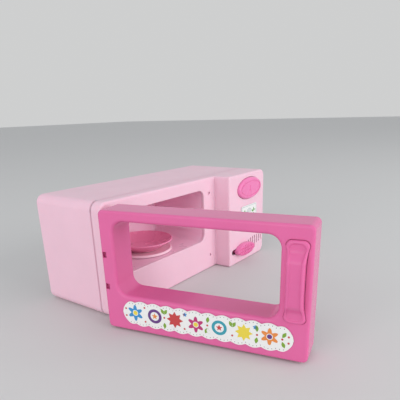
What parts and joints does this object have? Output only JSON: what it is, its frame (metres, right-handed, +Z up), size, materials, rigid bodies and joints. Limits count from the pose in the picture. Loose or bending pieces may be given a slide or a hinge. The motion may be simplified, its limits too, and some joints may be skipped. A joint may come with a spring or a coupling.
{
  "type": "toy microwave oven",
  "caption": "Toy microwave oven with a side-hinged window door, a turntable and dish in its cavity, a push button, a slide switch and a sound grille.",
  "frame": {"origin": "on the table, under the middle of the rear case's flat base", "axes": "+Z up, +X along the front from the hinge side to the control side, +Y to the back"},
  "size_m": [0.188, 0.1898, 0.0757],
  "materials": {
    "shell_pink": "moulded, fine satin",
    "hot_pink": "moulded, soft gloss",
    "pale_pink": "moulded, soft gloss",
    "white_plastic": "moulded",
    "black_plastic": "moulded",
    "print_film": "printed film",
    "steel": "plain",
    "brass": "plain",
    "board": "circuit board laminate",
    "cell_wrap": "wrapped cell can",
    "paper": "pressed paper",
    "clear_lens": "clear moulded lens"
  },
  "bodies": {
    "case": {"front_panel": "shell_pink", "rear_case": "shell_pink", "battery_cover": "shell_pink", "oven_chamber": "pale_pink", "lamp": "clear_lens", "motor_can": "steel", "motor_strap": "white_plastic", "motor_screw_1": "steel", "motor_screw_2": "steel", "idler_pin": "steel", "circuit_board": "board", "board_screw_1": "steel", "board_screw_2": "steel", "push_switch": "black_plastic", "sound_chip": "black_plastic", "slide_switch": "steel", "switch_screw_1": "steel", "switch_screw_2": "steel", "speaker_frame": "steel", "speaker_cone": "paper", "speaker_magnet": "steel", "battery_tray": "white_plastic", "battery_cell_1": "cell_wrap", "battery_cell_2": "cell_wrap", "battery_spring_1": "steel", "battery_spring_2": "steel", "contact_plus": "steel", "contact_minus": "steel", "contact_link": "steel", "battery_cover_screw": "steel", "hinge_pin": "steel", "panel_label": "print_film", "case_screw_1": "steel", "case_screw_2": "steel", "case_screw_3": "steel", "case_screw_4": "steel", "case_screw_5": "steel"},
    "door": {"door_frame": "hot_pink", "door_back": "hot_pink", "door_handle": "hot_pink", "door_band": "print_film", "door_screw_1": "steel", "door_screw_2": "steel", "door_screw_3": "steel"},
    "button": {"push_button": "hot_pink", "switch_plunger": "black_plastic"},
    "knob": {"slide_knob": "hot_pink", "switch_lever": "black_plastic"},
    "turntable": {"turntable": "pale_pink", "turntable_spindle": "white_plastic", "spindle_gear": "white_plastic"},
    "idler": {"idler_gear": "white_plastic"},
    "motor_rotor": {"motor_shaft": "steel", "motor_pinion": "brass"},
    "dish": {"dish": "hot_pink"}
  },
  "joints": [
    {"name": "door_hinge", "type": "hinge", "parent": "case", "child": "door", "pos_m": [-0.0868, -0.0401, 0.038], "axis": [0, 0, -1], "range_deg": [-77.6, 32.4]},
    {"name": "button_press", "type": "slide", "parent": "case", "child": "button", "axis": [0, 1, 0], "range_m": [0, 0.0015], "stiffness_N_per_m": 300, "springref_m": -0.002},
    {"name": "switch_slide", "type": "slide", "parent": "case", "child": "knob", "axis": [-1, 0, 0], "range_m": [0, 0.005]},
    {"name": "turntable_spin", "type": "hinge", "parent": "case", "child": "turntable", "pos_m": [-0.0285, -0.0052, 0.0273], "axis": [0, 0, 1], "continuous": true},
    {"name": "idler_spin", "type": "hinge", "parent": "case", "child": "idler", "pos_m": [-0.0091, -0.0052, 0.0172], "axis": [0, 0, 1], "continuous": true},
    {"name": "motor_spin", "type": "hinge", "parent": "case", "child": "motor_rotor", "pos_m": [0.0071, -0.0052, 0.0172], "axis": [0, 0, 1], "continuous": true},
    {"name": "dish_lift", "type": "slide", "parent": "turntable", "child": "dish", "axis": [0, 0, 1], "range_m": [0, 0.02]}
  ],
  "couplings": [
    {"joint": "idler_spin", "follows": "turntable_spin", "ratio": -5},
    {"joint": "motor_spin", "follows": "turntable_spin", "ratio": 20}
  ]
}
